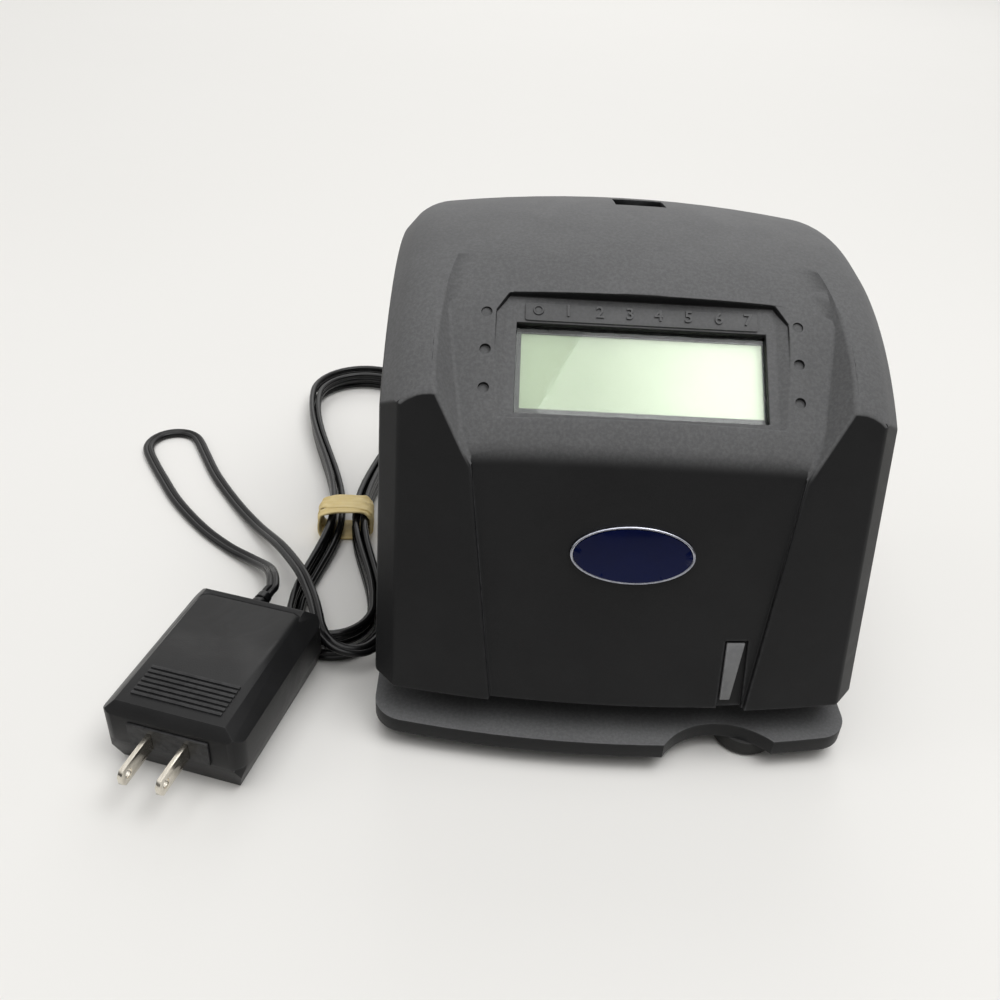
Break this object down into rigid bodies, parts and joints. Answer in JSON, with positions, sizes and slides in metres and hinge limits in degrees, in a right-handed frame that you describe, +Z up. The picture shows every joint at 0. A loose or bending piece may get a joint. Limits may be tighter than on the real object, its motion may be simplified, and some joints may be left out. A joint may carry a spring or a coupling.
{
  "type": "card time clock",
  "caption": "Moulded card time clock with a tilted display over a front card throat, a lift-off case over a print mechanism, and a plug-in adapter on a coiled lead.",
  "frame": {"origin": "middle of the clock's footprint on the floor, without its lead and adapter", "axes": "+X to the right seen from the front, +Y to the back, +Z up"},
  "size_m": [0.2904, 0.2947, 0.1507],
  "materials": {
    "case_plastic": "fine satin grain, charcoal",
    "inner_plastic": "plain moulded",
    "black_plastic": "fine grain, black",
    "white_plastic": "natural moulded",
    "strip_plastic": "smooth dark strip",
    "mark_grey": "mid grey",
    "badge_blue": "domed gloss, navy",
    "badge_silver": "bright rim",
    "lens_clear": "clear",
    "lcd_grey": "blank display, grey green",
    "foot_rubber": "matt",
    "lead_rubber": "smooth black",
    "band_tan": "matt tan",
    "plate_steel": "zinc plated sheet",
    "ground_steel": "ground",
    "screw_steel": "zinc plated",
    "lock_chrome": "plated",
    "blade_nickel": "nickel plated",
    "bush_bronze": "plain bearing bronze",
    "head_metal": "cast",
    "ribbon_ink": "inked nylon",
    "board_green": "solder mask"
  },
  "bodies": {
    "base": {"base_plate": "case_plastic", "rubber_feet": "foot_rubber", "base_screws": "screw_steel", "platen_pad": "foot_rubber", "chassis_deck": "inner_plastic", "rear_cover": "case_plastic", "rear_screws": "screw_steel", "left_frame_plate": "plate_steel", "right_frame_plate": "plate_steel", "front_guide_shaft": "ground_steel", "rear_guide_shaft": "ground_steel", "screw_bushes": "bush_bronze", "drive_motor": "plate_steel", "ribbon_cassette": "inner_plastic", "ribbon": "ribbon_ink", "display_bracket": "inner_plastic", "display_board": "board_green", "lcd_panel": "lcd_grey", "main_board": "board_green", "dc_socket": "black_plastic", "backup_battery": "ground_steel", "sounder": "black_plastic", "card_switch": "black_plastic", "lock_catch": "plate_steel", "adapter_top_shell": "black_plastic", "adapter_bottom_shell": "black_plastic", "blade_seat": "black_plastic", "plug_blades": "blade_nickel", "adapter_transformer": "head_metal", "adapter_relief": "lead_rubber", "lead_to_adapter": "lead_rubber", "lead_hank": "lead_rubber", "hank_band": "band_tan", "lead_to_clock": "lead_rubber", "dc_plug": "black_plastic"},
    "cover": {"upper_case": "case_plastic", "display_lens": "lens_clear", "day_strip": "strip_plastic", "badge_rim": "badge_silver", "badge_dome": "badge_blue", "print_mark": "mark_grey", "lock_housing": "lock_chrome", "lock_nut": "plate_steel"},
    "lock": {"lock_cylinder": "lock_chrome", "lock_cam": "plate_steel"},
    "carriage": {"print_carriage": "inner_plastic", "print_head": "head_metal"},
    "screw": {"lead_screw": "ground_steel", "screw_gear": "white_plastic"},
    "rotor": {"motor_pinion": "bush_bronze"},
    "feed_reel": {"feed_spool": "ribbon_ink"},
    "take_up_reel": {"take_up_spool": "ribbon_ink"},
    "lever": {"card_lever": "white_plastic"},
    "key_1": {"set_key_1": "white_plastic"},
    "key_2": {"set_key_2": "white_plastic"},
    "key_3": {"set_key_3": "white_plastic"}
  },
  "joints": [
    {"name": "cover_lift", "type": "slide", "parent": "base", "child": "cover", "axis": [0, 0, 1], "range_m": [0, 0.14]},
    {"name": "lock_turn", "type": "hinge", "parent": "cover", "child": "lock", "pos_m": [0.0045, 0.0584, 0.137], "axis": [0, 0, -1], "range_deg": [0, 90]},
    {"name": "carriage_slide", "type": "slide", "parent": "base", "child": "carriage", "axis": [1, 0, 0], "range_m": [-0.0401, 0.0061]},
    {"name": "screw_spin", "type": "hinge", "parent": "base", "child": "screw", "pos_m": [0, 0, 0.036], "axis": [1, 0, 0], "range_deg": [-600, 90]},
    {"name": "motor_spin", "type": "hinge", "parent": "base", "child": "rotor", "pos_m": [0, 0.01281, 0.04881], "axis": [1, 0, 0], "range_deg": [-182, 1202]},
    {"name": "feed_spool_spin", "type": "hinge", "parent": "base", "child": "feed_reel", "pos_m": [-0.001, -0.024, 0.06], "axis": [0, 0, 1], "range_deg": [-146, 24]},
    {"name": "take_up_spool_spin", "type": "hinge", "parent": "base", "child": "take_up_reel", "pos_m": [0.04, -0.024, 0.06], "axis": [0, 0, 1], "range_deg": [-146, 24]},
    {"name": "card_lever_swing", "type": "hinge", "parent": "base", "child": "lever", "pos_m": [0.01, 0.03, 0.027], "axis": [1, 0, 0], "range_deg": [0, 18], "stiffness_Nm_per_rad": 0.01},
    {"name": "set_key_1_press", "type": "slide", "parent": "base", "child": "key_1", "axis": [0, 0.6225, -0.7826], "range_m": [0, 0.0006], "stiffness_N_per_m": 1200},
    {"name": "set_key_2_press", "type": "slide", "parent": "base", "child": "key_2", "axis": [0, 0.6225, -0.7826], "range_m": [0, 0.0006], "stiffness_N_per_m": 1200},
    {"name": "set_key_3_press", "type": "slide", "parent": "base", "child": "key_3", "axis": [0, 0.6225, -0.7826], "range_m": [0, 0.0006], "stiffness_N_per_m": 1200}
  ],
  "couplings": [
    {"joint": "carriage_slide", "follows": "screw_spin", "m_per_rad": 0.0038197},
    {"joint": "motor_spin", "follows": "screw_spin", "ratio": -2},
    {"joint": "feed_spool_spin", "follows": "screw_spin", "ratio": 0.23873},
    {"joint": "take_up_spool_spin", "follows": "screw_spin", "ratio": 0.23873}
  ]
}
